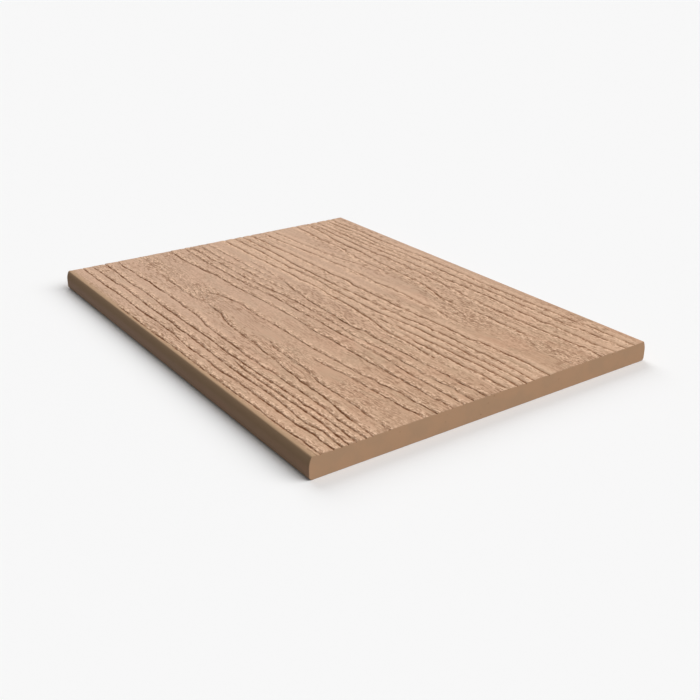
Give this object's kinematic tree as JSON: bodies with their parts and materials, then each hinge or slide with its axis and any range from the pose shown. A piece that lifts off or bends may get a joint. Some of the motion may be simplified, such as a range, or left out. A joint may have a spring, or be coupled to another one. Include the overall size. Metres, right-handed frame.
{
  "type": "composite fascia board",
  "caption": "Short sawn length of flat wood-plastic fascia board with an embossed wood-grain face, rounded long edges, plain back and square sawn ends.",
  "frame": {"origin": "centre of the plain back face, at the bottom centre of the board as it lies flat with its grained face up", "axes": "+X along the board towards the sawn end that faces the camera, Y across the width, +Z out of the grained face"},
  "size_m": [0.4, 0.3, 0.016],
  "materials": {
    "composite": "matte"
  },
  "bodies": {
    "root": {"fascia_board": "composite"}
  },
  "joints": []
}
